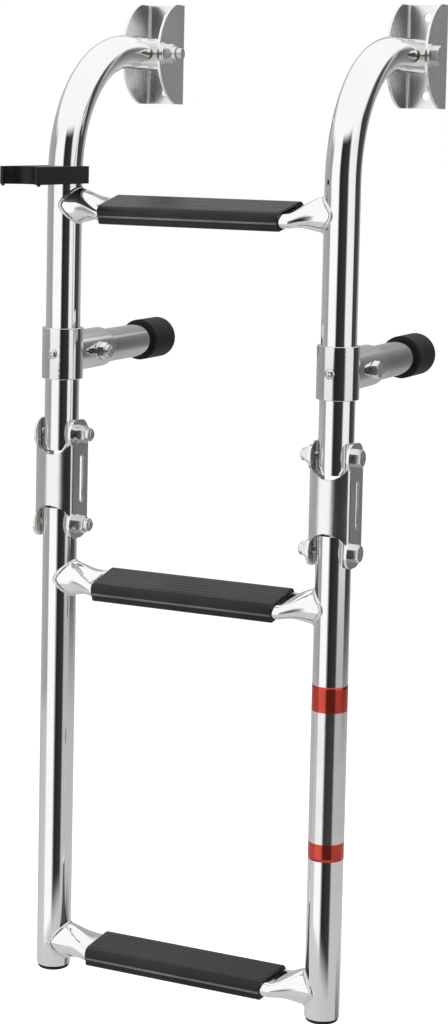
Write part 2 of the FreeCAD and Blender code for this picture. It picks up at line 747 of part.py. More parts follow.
def bolt_and_nut(side, name, y, z, seat, sizes, washer="0"):
    """Bolt with its head on the outer side and its lock nut on the inner side."""
    x, turn = sides[side]
    diameter, across, head, nut, tail = sizes
    grip = f"(2 * ({seat} + {washer}))"
    bolt = hex_bolt(f"{side}_{name}_bolt", diameter, across, head, f"{grip} + {nut} + {tail}")
    across_the_rail(bolt, turn, x, f"{seat} + {washer}", y, z)
    lock = lock_nut(f"{side}_{name}_nut", diameter, across, nut)
    across_the_rail(lock, turn, x, f"-({seat} + {washer})", y, z)
    return [bolt, lock]


def pivot_washers(side):
    """Two washers, one outside each ear of the mounting bracket."""
    x, turn = sides[side]
    label = f"{side}_pivot_washers"
    radius, thick = "size.pivot_washer_diameter / 2", "size.pivot_washer"
    gap = f"(2 * {mountOuter})"
    discs = combine("Part::Fuse", f"{label}_discs",
                    rod(f"{label}_outer", radius, thick),
                    rod(f"{label}_inner", radius, thick, f"{thick} + {gap}"))
    bore = rod(f"{label}_bore", "size.pivot_bolt_diameter / 2 + size.running_gap", f"{gap} + 2 * {thick}")
    washers = combine("Part::Cut", label, discs, bore)
    across_the_rail(washers, turn, x, f"{mountOuter} + {thick}", pivotLine, "0")
    return washers


def set_screw(side):
    """Round-headed screw with a cross recess, which pinches the collar on the rail."""
    label = f"{side}_standoff_screw"
    head = rod(f"{label}_head", "size.set_screw_head / 2", "size.set_screw_dome")
    ball = doc.addObject("Part::Sphere", f"{label}_ball")
    ball.setExpression("Radius", "size.set_screw_crown")
    place(ball, "0", "0", "size.set_screw_dome - size.set_screw_crown")
    dome = combine("Part::Common", f"{label}_dome", head, ball)
    for name, length, width in (("wide", "size.recess_length", "size.recess_width"),
                                ("tall", "size.recess_width", "size.recess_length")):
        cross = doc.addObject("Part::Box", f"{label}_{name}_recess")
        cross.setExpression("Length", length)
        cross.setExpression("Width", width)
        cross.setExpression("Height", "size.recess_depth")
        place(cross, f"-{length} / 2", f"-{width} / 2", "size.set_screw_dome - size.recess_depth")
        dome = combine("Part::Cut", f"{label}_{name}_cut", dome, cross)
    shank = rod(f"{label}_shank", "size.set_screw_shank / 2", "size.collar_wall - size.fit_gap",
                "-(size.collar_wall - size.fit_gap)")
    screw = combine("Part::Fuse", label, dome, shank)
    place(screw, sides[side][0], f"{railLine} - {collarRadius}", "-size.standoff_drop",
          Rotation(Vector(1, 0, 0), 90))
    return screw


pivotSizes = ("size.pivot_bolt_diameter", "size.pivot_hex", "size.pivot_head", "size.pivot_nut",
              "size.pivot_tail")
hingeSizes = ("size.hinge_bolt_diameter", "size.hinge_hex", "size.hinge_head", "size.hinge_nut",
              "size.hinge_tail")

pieces = []
for side in sides:
    pieces.append(mounting_bracket(side))
    pieces.extend(bolt_and_nut(side, "pivot", pivotLine, "0", mountOuter, pivotSizes, "size.pivot_washer"))
    pieces.append(pivot_washers(side))
    pieces.append(upper_rail(side))
    pieces.append(standoff_collar(side))
    pieces.append(standoff_arm(side))
    pieces.append(standoff_tip(side))
    pieces.append(set_screw(side))
    pieces.extend(bolt_and_nut(side, "standoff", f"{railLine} + size.standoff_bolt_setback",
                               "-size.standoff_drop", socketRadius, hingeSizes))
    pieces.append(hinge_bracket(side))
    pieces.extend(bolt_and_nut(side, "upper_hinge", railLine, upperHinge, hingeOuter, hingeSizes))
    pieces.extend(bolt_and_nut(side, "lower_hinge", railLine, lowerHinge, hingeOuter, hingeSizes))
    pieces.append(lower_rail(side))
    pieces.append(foot_plug(side))
for name, level in (("top", topTread), ("middle", middleTread), ("bottom", bottomTread)):
    pieces.append(tread(f"{name}_tread", level))
    pieces.append(tread_cover(f"{name}_tread_cover", level))
pieces.append(rail_clip())

doc.recompute()
for thing in doc.Objects:
    if "Invalid" in thing.State or "Error" in thing.State:
        raise RuntimeError(f"{thing.Label} did not build: {thing.State}")
for piece in pieces:
    if piece.Shape.isNull() or not piece.Shape.isValid():
        raise RuntimeError(f"{piece.Label} has no valid shape")
for piece in pieces:
    piece.Shape.exportStep(f"parts/{piece.Label}.step")
    box = piece.Shape.BoundBox
    print(f"{piece.Label}: {len(piece.Shape.Solids)} solid, {piece.Shape.Volume / 1000:.2f} cm3, "
          f"x {box.XMin:.1f} to {box.XMax:.1f}, y {box.YMin:.1f} to {box.YMax:.1f}, "
          f"z {box.ZMin:.1f} to {box.ZMax:.1f}")
print(f"{len(pieces)} pieces")
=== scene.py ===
import math

import bmesh
import bpy
from mathutils import Matrix, Vector


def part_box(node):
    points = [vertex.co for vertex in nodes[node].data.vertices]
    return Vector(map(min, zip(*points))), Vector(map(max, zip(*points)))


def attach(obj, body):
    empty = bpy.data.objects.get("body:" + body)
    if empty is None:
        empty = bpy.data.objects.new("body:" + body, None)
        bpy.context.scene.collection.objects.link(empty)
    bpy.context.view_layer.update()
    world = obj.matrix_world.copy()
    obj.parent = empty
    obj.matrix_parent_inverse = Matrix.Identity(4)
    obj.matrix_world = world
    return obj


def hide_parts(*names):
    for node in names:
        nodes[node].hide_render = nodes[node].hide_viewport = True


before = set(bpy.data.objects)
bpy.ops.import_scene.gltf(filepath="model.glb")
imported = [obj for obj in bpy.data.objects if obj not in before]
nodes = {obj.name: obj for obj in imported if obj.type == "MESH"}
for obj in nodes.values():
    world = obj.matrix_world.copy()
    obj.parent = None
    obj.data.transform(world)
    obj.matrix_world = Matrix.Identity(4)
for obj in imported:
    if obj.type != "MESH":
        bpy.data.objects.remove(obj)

scene = bpy.context.scene
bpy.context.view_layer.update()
print("ladder loaded:", len(nodes), "nodes")


# Where things are on the ladder, in metres

def middleOf(node):
    low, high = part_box(node)
    return Vector([(a + b) / 2 for a, b in zip(low, high)])


def sizeOf(node):
    low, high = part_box(node)
    return Vector([b - a for a, b in zip(low, high)])


inward = {"left": 1, "right": -1}  # the way to the ladder's middle
treadBody = {"top": "upper_section", "middle": "lower_section", "bottom": "lower_section"}
railAt = {side: middleOf(f"{side}_lower_rail") for side in inward}
tubeRadius = sizeOf("left_lower_rail").x / 2
treadZ = {level: middleOf(f"{level}_tread").z for level in treadBody}


# Node material helpers

def newMaterial(name):
    material = bpy.data.materials.new(name)
    material.use_nodes = True
    tree = material.node_tree
    tree.nodes.clear()
    output = tree.nodes.new("ShaderNodeOutputMaterial")
    surface = tree.nodes.new("ShaderNodeBsdfPrincipled")
    tree.links.new(surface.outputs["BSDF"], output.inputs["Surface"])
    return material, tree, surface


def addNode(tree, kind, **values):
    node = tree.nodes.new(kind)
    for key, value in values.items():
        if hasattr(node, key):
            setattr(node, key, value)
        else:
            node.inputs[key.replace("_", " ")].default_value = value
    return node


def objectSpace(tree, stretch):
    # object coordinates in metres, stretched so that grain can run along one axis
    coordinates = tree.nodes.new("ShaderNodeTexCoord")
    mapping = tree.nodes.new("ShaderNodeMapping")
    mapping.inputs["Scale"].default_value = stretch
    tree.links.new(coordinates.outputs["Object"], mapping.inputs["Vector"])
    return mapping.outputs["Vector"]


def grain(tree, stretch, detail):
    # noise with stretch cells to the metre along each axis
    noise = addNode(tree, "ShaderNodeTexNoise", Scale=1.0, Detail=detail, Roughness=0.55)
    tree.links.new(objectSpace(tree, stretch), noise.inputs["Vector"])
    return noise.outputs["Fac"]


def spread(tree, value, low, high, fromLow=0.3, fromHigh=0.7, smooth=False):
    # stretch a pattern over the range low to high
    remap = addNode(tree, "ShaderNodeMapRange")
    if smooth:
        remap.interpolation_type = "SMOOTHSTEP"
    limits = {"From Min": fromLow, "From Max": fromHigh, "To Min": low, "To Max": high}
    for key, number in limits.items():
        remap.inputs[key].default_value = number
    tree.links.new(value, remap.inputs["Value"])
    return remap.outputs["Result"]


def combined(tree, how, first, second):
    both = addNode(tree, "ShaderNodeMath", operation=how)
    tree.links.new(first, both.inputs[0])
    tree.links.new(second, both.inputs[1])
    return both.outputs[0]


def tone(tree, value, dark, light):
    ramp = tree.nodes.new("ShaderNodeMix")
    ramp.data_type = "RGBA"
    ramp.inputs["A"].default_value = (*dark, 1)
    ramp.inputs["B"].default_value = (*light, 1)
    tree.links.new(value, ramp.inputs["Factor"])
    return ramp.outputs["Result"]


def bumps(tree, surface, value, height, strength):
    bump = addNode(tree, "ShaderNodeBump", Strength=strength, Distance=height)
    tree.links.new(value, bump.inputs["Height"])
    tree.links.new(bump.outputs["Normal"], surface.inputs["Normal"])


# Steel

polish = {
    # tones of the metal, roughness, polishing lines to the metre along each axis, and their height
    "tube": {"dark": (0.915, 0.910, 0.898), "light": (0.975, 0.969, 0.955), "rough": (0.035, 0.070),
             "grain": (900, 900, 14), "bump": 0.00002, "strength": 0.2},
    "socket": {"dark": (0.76, 0.75, 0.735), "light": (0.90, 0.893, 0.88), "rough": (0.035, 0.08),
               "grain": (500, 10, 500), "bump": 0.00004, "strength": 0.4},
    "arm": {"dark": (0.60, 0.588, 0.57), "light": (0.82, 0.81, 0.795), "rough": (0.035, 0.08),
            "grain": (400, 12, 400), "bump": 0.00004, "strength": 0.4},
    "hinge": {"dark": (0.86, 0.857, 0.85), "light": (0.95, 0.947, 0.94), "rough": (0.18, 0.27),
              "grain": (600, 600, 30), "bump": 0.00002, "strength": 0.08},
    "bracket": {"dark": (0.87, 0.867, 0.86), "light": (0.95, 0.947, 0.94), "rough": (0.27, 0.31),
                "grain": (500, 500, 40), "bump": 0.00001, "strength": 0.06},
    "bolts": {"dark": (0.78, 0.775, 0.765), "light": (0.90, 0.896, 0.885), "rough": (0.28, 0.40),
              "grain": (260, 260, 260), "bump": 0.00005, "strength": 0.4},
    "weld": {"dark": (0.74, 0.732, 0.715), "light": (0.92, 0.912, 0.895), "rough": (0.30, 0.40),
             "grain": (260, 260, 260), "bump": 0.00006, "strength": 0.4},
}


handMarks = {"spread": (14, 14, 9), "shine": (0.6, 1.0)}  # a few centimetres across


def steel(name, look):
    material, tree, surface = newMaterial(name)
    surface.inputs["Metallic"].default_value = 1.0
    smudge = grain(tree, handMarks["spread"], detail=4.0)
    lines = grain(tree, look["grain"], detail=2.0)
    tree.links.new(tone(tree, spread(tree, smudge, 0.0, 1.0), look["dark"], look["light"]),
                   surface.inputs["Base Color"])
    rough = combined(tree, "MULTIPLY", spread(tree, smudge, *handMarks["shine"]),
                     spread(tree, lines, *look["rough"]))
    tree.links.new(rough, surface.inputs["Roughness"])
    bumps(tree, surface, lines, look["bump"], look["strength"])
    return material


# Plastic and rubber

moulded = {
    "cover": {"dark": (0.009, 0.009, 0.010), "light": (0.018, 0.018, 0.020), "rough": (0.26, 0.38),
              "grain": (30, 900, 900), "bump": 0.00008, "strength": 0.4, "specular": 0.34},
    # lighter plastic for the covers' bead: a painted highlight line, not the plastic's own colour
    "paintedHighlight": {"dark": (0.11, 0.11, 0.112), "light": (0.22, 0.22, 0.222), "rough": (0.22, 0.34),
             "grain": (30, 900, 900), "bump": 0.00005, "strength": 0.3, "specular": 0.5},
    "clip": {"dark": (0.009, 0.009, 0.010), "light": (0.016, 0.016, 0.017), "rough": (0.32, 0.44),
             "grain": (700, 700, 700), "bump": 0.00005, "strength": 0.3, "specular": 0.30},
    "tip": {"dark": (0.010, 0.010, 0.010), "light": (0.018, 0.018, 0.018), "rough": (0.50, 0.66),
            "grain": (900, 900, 900), "bump": 0.00008, "strength": 0.5, "specular": 0.26},
    "nylon": {"dark": (0.50, 0.50, 0.49), "light": (0.62, 0.62, 0.61), "rough": (0.35, 0.50),
              "grain": (500, 500, 500), "bump": 0.00004, "strength": 0.3, "specular": 0.5},
}


dust = (30, 30, 30)  # patches of a few centimetres


def plastic(name, look):
    material, tree, surface = newMaterial(name)
    surface.inputs["Specular IOR Level"].default_value = look["specular"]
    cloud = grain(tree, dust, detail=4.0)
    fine = grain(tree, look["grain"], detail=2.0)
    tree.links.new(tone(tree, spread(tree, cloud, 0.0, 1.0), look["dark"], look["light"]),
                   surface.inputs["Base Color"])
    tree.links.new(spread(tree, fine, *look["rough"]), surface.inputs["Roughness"])
    bumps(tree, surface, fine, look["bump"], look["strength"])
    return material


tubeSteel = steel("polishedTube", polish["tube"])
socketSteel = steel("drawnSocket", polish["socket"])
armSteel = steel("drawnArm", polish["arm"])
hingeSteel = steel("hingeSheet", polish["hinge"])
bracketSteel = steel("bracketSheet", polish["bracket"])
boltSteel = steel("boltSteel", polish["bolts"])
weldSteel = steel("weldSteel", polish["weld"])
coverPlastic = plastic("coverPlastic", moulded["cover"])
# lighter plastic that paints a highlight line along the covers' bead
paintedHighlightPlastic = plastic("paintedHighlightPlastic", moulded["paintedHighlight"])
clipPlastic = plastic("clipPlastic", moulded["clip"])
tipRubber = plastic("tipRubber", moulded["tip"])
nylon = plastic("nylonRing", moulded["nylon"])

finishOf = {
    "rail_clip": clipPlastic,
    "foot_plug": clipPlastic,
    "tread_cover": coverPlastic,
    "standoff_tip": tipRubber,
    "mounting_bracket": bracketSteel,
    "hinge_bracket": hingeSteel,
    "standoff_arm": armSteel,
    "standoff_collar": socketSteel,
    "bolt": boltSteel,
    "nut": boltSteel,
    "washers": boltSteel,
    "screw": boltSteel,
}
for name, node in nodes.items():
    chosen = next((finish for ending, finish in finishOf.items() if name.endswith(ending)),
                  tubeSteel)
    node.data.materials.clear()
    node.data.materials.append(chosen)
print("finishes given to the nodes")


# Shared mesh helpers

def newPiece(name, mesh, material, body):
    piece = bpy.data.objects.new(name, mesh)
    scene.collection.objects.link(piece)
    mesh.materials.append(material)
    for face in mesh.polygons:
        face.use_smooth = True
    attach(piece, body)
    return piece


def sweep(name, line, radii, around, material, body, closed=True):
    # a bead of changing radius along a closed or open line of points
    mesh = bpy.data.meshes.new(name)
    work = bmesh.new()
    rings = []
    turns = [2 * math.pi * k / around for k in range(around)]
    count = len(line)
    for i, centre in enumerate(line):
        before = line[i - 1] if closed or i else line[0]
        after = line[(i + 1) % count] if closed or i + 1 < count else line[-1]
        along = (after - before).normalized()
        sideways = previous - along * previous.dot(along) if rings else along.orthogonal()
        sideways.normalize()
        previous = sideways
        across = along.cross(sideways)
        offsets = [(sideways * math.cos(a) + across * math.sin(a)) * radii[i] for a in turns]
        rings.append([work.verts.new(centre + offset) for offset in offsets])
    for i in range(count if closed else count - 1):
        this, following = rings[i], rings[(i + 1) % count]
        shift = 0
        if closed and i + 1 == count:  # the frame may have turned on its way round
            shift = min(range(around), key=lambda s: (this[0].co - following[s].co).length)
        for k in range(around):
            work.faces.new((this[k], this[(k + 1) % around],
                            following[(k + 1 + shift) % around], following[(k + shift) % around]))
    if not closed:
        work.faces.new(list(reversed(rings[0])))
        work.faces.new(rings[-1])
    bmesh.ops.recalc_face_normals(work, faces=work.faces)
    work.to_mesh(mesh)
    work.free()
    return newPiece(name, mesh, material, body)


def turned(name, profile, around, spot, direction, material, body):
    # a ring turned from a closed profile of (radius, height) about an axis along X through spot
    mesh = bpy.data.meshes.new(name)
    work = bmesh.new()
    rings = []
    for k in range(around):
        a = 2 * math.pi * k / around
        offsets = [Vector((direction * height, radius * math.cos(a), radius * math.sin(a)))
                   for radius, height in profile]
        rings.append([work.verts.new(spot + offset) for offset in offsets])
    for k in range(around):
        this, following = rings[k], rings[(k + 1) % around]
        for i in range(len(profile)):
            j = (i + 1) % len(profile)
            work.faces.new((this[i], this[j], following[j], following[i]))
    bmesh.ops.recalc_face_normals(work, faces=work.faces)
    work.to_mesh(mesh)
    work.free()
    return newPiece(name, mesh, material, body)


# Treads and their covers, leaned forward a few degrees as they are welded on the real ladder

treadLook = {
    "lean": {"top": 13.5, "middle": 12.0, "bottom": 4.5},  # degrees, nose down
    "thick": 0.0104,  # height of the pressed part
    "taperFrom": 0.0137,  # from the rail's axis to where the pressing starts
    "taperTo": 0.035,  # and to where it is flat
    "around": 112, "neckSteps": 4, "taperSteps": 18,  # how finely it is divided
    "sunkIn": 0.0003,  # its ends, under the rail's skin
    "crease": 36,  # degrees from which an edge shows as sharp
}
coverLook = {
    "top": 0.0019, "wall": 0.0015, "nose": 0.0024,  # thickness above, below and in front
    "gap": 0.0001, "hook": 0.0090,  # to the steel, and how far the lips reach under it
    "crown": 0.0050, "toe": 0.0024,  # radii of the upper and lower corners
    "ribs": 6, "ribPitch": 0.0046, "ribWidth": 0.0020, "ribTop": 0.64, "ribHeight": 0.00011,
    "beadDown": 0.0074, "beadHalf": 0.0010, "beadOut": 0.0006, "beadFrom": -75, "beadStep": 15,
    "beadRoot": 1.3, "setBack": 0.0009,
    "paintedHighlightFrom": 3, "paintedHighlightFaces": 6,  # the bead's faces given the lighter plastic, a painted highlight along the nose
    "edge": 0.0005, "edgeSteps": 3, "arcSteps": 10, "crease": 28,
    "slant": {"top": 0.0040, "middle": 0.0022, "bottom": 0.0044},  # right end shorter in front
}


def leaned(level, x, forward, up, share=1.0):
    # a point of the tread's section, lowered and turned nose down by share of the full lean
    a = math.radians(treadLook["lean"][level]) * share
    return Vector((x, railAt["left"].y - (forward * math.cos(a) + up * math.sin(a)),
                   treadZ[level] - sunk * share + up * math.cos(a) - forward * math.sin(a)))


def crisp(piece, angle):
    piece.data.set_sharp_from_angle(angle=math.radians(angle))


def pressedSize():
    # the solid's own flat part: half its depth, half its thickness, and how far it lies below
    middle = middleOf("top_tread")
    slack = 0.0005
    reach = railAt["right"].x - middle.x - treadLook["taperTo"] + slack
    corners = [v.co - middle for v in nodes["top_tread"].data.vertices]
    flat = [corner for corner in corners if abs(corner.x) < reach]
    low, high = min(v.z for v in flat), max(v.z for v in flat)
    return max(abs(v.y) for v in flat), (high - low) / 2, -(high + low) / 2


solidHalf, solidRise, sunk = pressedSize()
# half the depth of the thinner section, since pressing keeps the tube's girth
pressed = solidHalf + (2 * solidRise - treadLook["thick"]) * (math.pi / 4 - 0.5)


def pressedPoint(angle):
    # where the point of the round tube's girth at angle from the front lands on the pressed section
    half = treadLook["thick"] / 2
    flat = pressed - half
    noseRun = half * math.pi / 2
    lap = abs((angle + math.pi) % (2 * math.pi) - math.pi)  # 0 at the front, pi at the back
    run = (math.pi / 2 - abs(lap - math.pi / 2)) / (math.pi / 2) * (flat + noseRun)
    if run < noseRun:
        forward, up = flat + half * math.cos(run / half), half * math.sin(run / half)
    else:
        forward, up = flat - (run - noseRun), half
    return forward if lap < math.pi / 2 else -forward, up if math.sin(angle) > 0 else -up


def treadPoint(level, side, angle, fromRail):
    share = (fromRail - treadLook["taperFrom"]) / (treadLook["taperTo"] - treadLook["taperFrom"])
    share = max(0.0, min(1.0, share))
    share *= (1 + share * (2 - share)) / 2  # eases out of the round and runs straight into the flat
    flatForward, flatUp = pressedPoint(angle)
    forward = tubeRadius * math.cos(angle) * (1 - share) + flatForward * share
    up = tubeRadius * math.sin(angle) * (1 - share) + flatUp * share
    return leaned(level, railAt[side].x + inward[side] * fromRail, forward, up, share)


def treadRings(level, side, work):
    # from the saddle just under the rail's skin to where the tube is flat
    around = treadLook["around"]
    skin = tubeRadius - treadLook["sunkIn"]
    angles = [2 * math.pi * k / around for k in range(around)]
    saddle = [math.sqrt(max(0.0, skin ** 2 - (tubeRadius * math.cos(a)) ** 2)) for a in angles]
    rings = []
    for i in range(treadLook["neckSteps"]):
        share = i / treadLook["neckSteps"]
        rings.append([deep + (treadLook["taperFrom"] - deep) * share for deep in saddle])
    for i in range(treadLook["taperSteps"] + 1):
        run = (treadLook["taperTo"] - treadLook["taperFrom"]) * i / treadLook["taperSteps"]
        rings.append([treadLook["taperFrom"] + run] * around)
    made = []
    for ring in rings:
        made.append([work.verts.new(treadPoint(level, side, a, d)) for a, d in zip(angles, ring)])
    return made


def addTread(level):
    # a round tube coped to both rails, pressed flat and leaned between them
    mesh = bpy.data.meshes.new(f"{level}_step")
    work = bmesh.new()
    around = treadLook["around"]
    rings = treadRings(level, "left", work) + list(reversed(treadRings(level, "right", work)))
    for this, following in zip(rings, rings[1:]):
        for k in range(around):
            j = (k + 1) % around
            work.faces.new((this[k], this[j], following[j], following[k]))
    for ring in (rings[0], rings[-1]):  # each end closed by upright strips inside the rail's wall
        for k in range(around // 2):
            below, belowNext = ring[(around - k) % around], ring[(around - k - 1) % around]
            corners = [ring[k], ring[k + 1], belowNext, below]
            work.faces.new([v for i, v in enumerate(corners) if v not in corners[:i]])
    bmesh.ops.recalc_face_normals(work, faces=work.faces)
    work.to_mesh(mesh)
    work.free()
    piece = newPiece(f"{level}_step", mesh, tubeSteel, treadBody[level])
    crisp(piece, treadLook["crease"])
    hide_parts(f"{level}_tread")


def arc(centreForward, centreUp, radius, start, end, steps):
    # degrees from straight forward, turning up
    points = []
    for i in range(steps + 1):
        a = math.radians(start + (end - start) * i / steps)
        points.append((centreForward + radius * math.cos(a), centreUp + radius * math.sin(a)))
    return points


def coverSection():
    # closed outline of (forward, up), round the outside from front lip to back lip and home inside
    look = coverLook
    half = treadLook["thick"] / 2
    face = pressed + look["nose"]
    top, bottom = half + look["top"], -half - look["wall"]
    lip = pressed - look["hook"]
    crown, toe, steps = look["crown"], look["toe"], look["arcSteps"]
    bead = top - look["beadDown"]
    front = arc(face - look["setBack"] - toe, bottom + toe, toe, -90, 0, steps)
    front += [(face - look["setBack"], bead - look["beadHalf"])]
    for degrees in range(look["beadFrom"], 90, look["beadStep"]):
        t = math.radians(degrees)
        front.append((face + look["beadOut"] * math.cos(t), bead + look["beadHalf"] * math.sin(t)))
    front += [(face, min(top - crown, bead + look["beadHalf"] * look["beadRoot"]))]
    front += arc(face - crown, top - crown, crown, 0, 90, steps)
    ribs = []
    for i in range(look["ribs"]):
        middle = (look["ribs"] - 1) * look["ribPitch"] / 2 - i * look["ribPitch"]
        foot, ridge = look["ribWidth"] / 2, look["ribWidth"] / 2 * look["ribTop"]
        for across, rise in ((foot, 0.0), (ridge, 1.0), (-ridge, 1.0), (-foot, 0.0)):
            ribs.append((middle + across, top + rise * look["ribHeight"]))
    back = arc(-(face - crown), top - crown, crown, 90, 180, steps)
    back += arc(-(face - toe), bottom + toe, toe, 180, 270, steps)
    seat = half + look["gap"]
    inside = [(-lip, bottom), (-lip, -seat)]
    inside += arc(-(pressed - half), 0.0, seat, 270, 90, steps)
    inside += arc(pressed - half, 0.0, seat, 90, -90, steps)
    inside += [(lip, -seat), (lip, bottom)]
    return front + ribs + back + inside


def inset(outline, amount):
    # the outline moved into its own material by amount
    sharpest = 0.5  # keeps the mitre short where the outline turns sharply
    moved = []
    count = len(outline)
    for i in range(count):
        here = Vector(outline[i])
        before = (here - Vector(outline[i - 1])).normalized()
        after = (Vector(outline[(i + 1) % count]) - here).normalized()
        along = (before + after).normalized()
        stretch = 1 / max(sharpest, along.dot(before))
        moved.append(here + Vector((-along.y, along.x)) * amount * stretch)
    return moved


def addCover(level):
    low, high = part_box(f"{level}_tread_cover")
    outline = coverSection()
    mesh = bpy.data.meshes.new(f"{level}_cover")
    work = bmesh.new()
    rings = []
    stations = []  # the rounding of both ends, as distance from the end and depth of the inset
    edge, steps = coverLook["edge"], coverLook["edgeSteps"]
    for i in range(steps + 1):
        a = math.pi / 2 * i / steps
        stations.append((edge * (1 - math.sin(a)), edge * (1 - math.cos(a))))
    slant = coverLook["slant"][level] / 2
    ends = [(low[0] + along, deep, 0.0) for deep, along in stations]
    ends += [(high[0] - along - slant, deep, slant) for deep, along in reversed(stations)]
    for x, deep, cutBack in ends:
        rings.append([work.verts.new(leaned(level, x - cutBack * forward / pressed, forward, up))
                      for forward, up in inset(outline, deep)])
    # the bead's upper faces get the lighter plastic as a painted highlight
    firstPaintedHighlight = coverLook["arcSteps"] + 2 + coverLook["paintedHighlightFrom"]
    for this, following in zip(rings, rings[1:]):
        for i in range(len(outline)):
            j = (i + 1) % len(outline)
            face = work.faces.new((this[i], this[j], following[j], following[i]))
            face.material_index = 1 if firstPaintedHighlight <= i < firstPaintedHighlight + coverLook["paintedHighlightFaces"] else 0
    work.faces.new(list(reversed(rings[0])))
    work.faces.new(rings[-1])
    bmesh.ops.recalc_face_normals(work, faces=work.faces)
    work.to_mesh(mesh)
    work.free()
    piece = newPiece(f"{level}_cover", mesh, coverPlastic, treadBody[level])
    mesh.materials.append(paintedHighlightPlastic)
    crisp(piece, coverLook["crease"])
    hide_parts(f"{level}_tread_cover")


for level in treadBody:
    addTread(level)
    addCover(level)
print("treads and covers leaned")


# Weld beads where the treads meet the rails

weldBead = {"radius": 0.0021, "ripple": 0.00005, "ripples": 30, "steps": 180, "around": 16,
            "railShare": 1.02, "treadShare": 0.985, "sunk": 0.0010}


def addWeld(level, side):
    # the line where the two tubes cross, rounded where it would come to a point in front and behind
    railSkin = tubeRadius * weldBead["railShare"]
    treadSkin = tubeRadius * weldBead["treadShare"]
    line = []
    radii = []
    for i in range(weldBead["steps"]):
        a = 2 * math.pi * i / weldBead["steps"]
        y, z = treadSkin * math.cos(a), treadSkin * math.sin(a)
        x = math.sqrt(railSkin ** 2 - y ** 2)
        outward = Vector((inward[side] * x, y, 0)).normalized() + Vector((0, y, z)).normalized()
        point = Vector((railAt[side].x + inward[side] * x, railAt[side].y + y, treadZ[level] + z))
        line.append(point - outward.normalized() * weldBead["sunk"])
        radii.append(weldBead["radius"] + weldBead["ripple"] * math.sin(weldBead["ripples"] * a))
    sweep(f"{level}_{side}_weld", line, radii, weldBead["around"], weldSteel, treadBody[level])


for level in treadBody:
    for side in inward:
        addWeld(level, side)
print("weld beads laid")


# Nylon rings in the lock nuts and the thread on the bolts' tails

ringLook = {"around": 40, "clear": 0.0001, "sink": 0.0003, "rise": 0.00025, "width": 0.0014,
            "round": 5}
threadLook = {"pitch": 0.0011, "depth": 0.0003, "steps": 26, "around": 6,
              "start": 0.3, "spare": 0.5,  # pitches left free at the nut and at the tip
              "runOut": 8, "thinnest": 0.15}  # how the thread fades at both ends


def addLockRing(side, name, body):
    nutLow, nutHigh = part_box(f"{side}_{name}_nut")
    boltLow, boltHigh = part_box(f"{side}_{name}_bolt")
    towards = inward[side]
    face = nutHigh[0] if towards > 0 else nutLow[0]
    end = boltHigh[0] if towards > 0 else boltLow[0]
    spot = middleOf(f"{side}_{name}_nut")
    spot.x = face
    shank = boltRadius[name]
    inner, outer = shank + ringLook["clear"], shank + ringLook["width"]
    middle, half = (inner + outer) / 2, (outer - inner) / 2
    profile = [(inner, -ringLook["sink"])]
    for i in range(ringLook["round"] + 1):
        t = math.pi * i / ringLook["round"]
        profile.append((middle - half * math.cos(t), ringLook["rise"] * math.sin(t)))
    profile.append((outer, -ringLook["sink"]))
    turned(f"{side}_{name}_ring", profile, ringLook["around"], spot, towards, nylon, body)

    tail = abs(end - face)
    turns = (tail - threadLook["pitch"] * threadLook["spare"]) / threadLook["pitch"]
    steps = int(turns * threadLook["steps"])
    line = []
    radii = []
    for i in range(steps + 1):
        a = 2 * math.pi * i / threadLook["steps"]
        out = threadLook["pitch"] * (threadLook["start"] + i / threadLook["steps"])
        line.append(spot + Vector((towards * out, shank * math.cos(a), shank * math.sin(a))))
        full = threadLook["thinnest"] + min(i, steps - i) / threadLook["runOut"]
        radii.append(threadLook["depth"] * min(1.0, full))
    sweep(f"{side}_{name}_thread", line, radii, threadLook["around"], boltSteel, body,
          closed=False)


fastened = {"pivot": "mounting_brackets", "standoff": "upper_section",
            "upper_hinge": "hinge_brackets", "lower_hinge": "hinge_brackets"}
# 5/16 inch bolts at the pivots, 1/4 inch ones elsewhere
boltRadius = {"pivot": 0.00397, "standoff": 0.003175,
              "upper_hinge": 0.003175, "lower_hinge": 0.003175}
for side in inward:
    for name, body in fastened.items():
        addLockRing(side, name, body)
print("lock rings and threads made")


# Thin clear film sleeve with two plain red bands on the right lower rail

filmSleeve = {
    "high": -0.4453, "low": -0.5709,  # heights of its edges
    "highBand": 0.0185, "lowBand": 0.0126, "bandEdge": 0.0002,
    "lift": 0.00002, "thick": 0.00014,  # off the rail, to its inner and outer face
    "start": 100, "turn": 372,  # degrees, so it laps over itself at the back
    "lap": 0.00016, "lapFrom": 0.93, "lapRun": 0.03,
    "around": 96, "along": 60,
    "clear": ((0.82, 0.815, 0.80), (0.90, 0.895, 0.88)),
    "red": ((0.58, 0.060, 0.040), (0.72, 0.090, 0.060)),
    "cloud": (90, 90, 60), "fine": (400, 400, 120),
    "metal": (0.97, 0.80), "rough": (0.06, 0.12), "bump": 0.00004, "strength": 0.3,
}


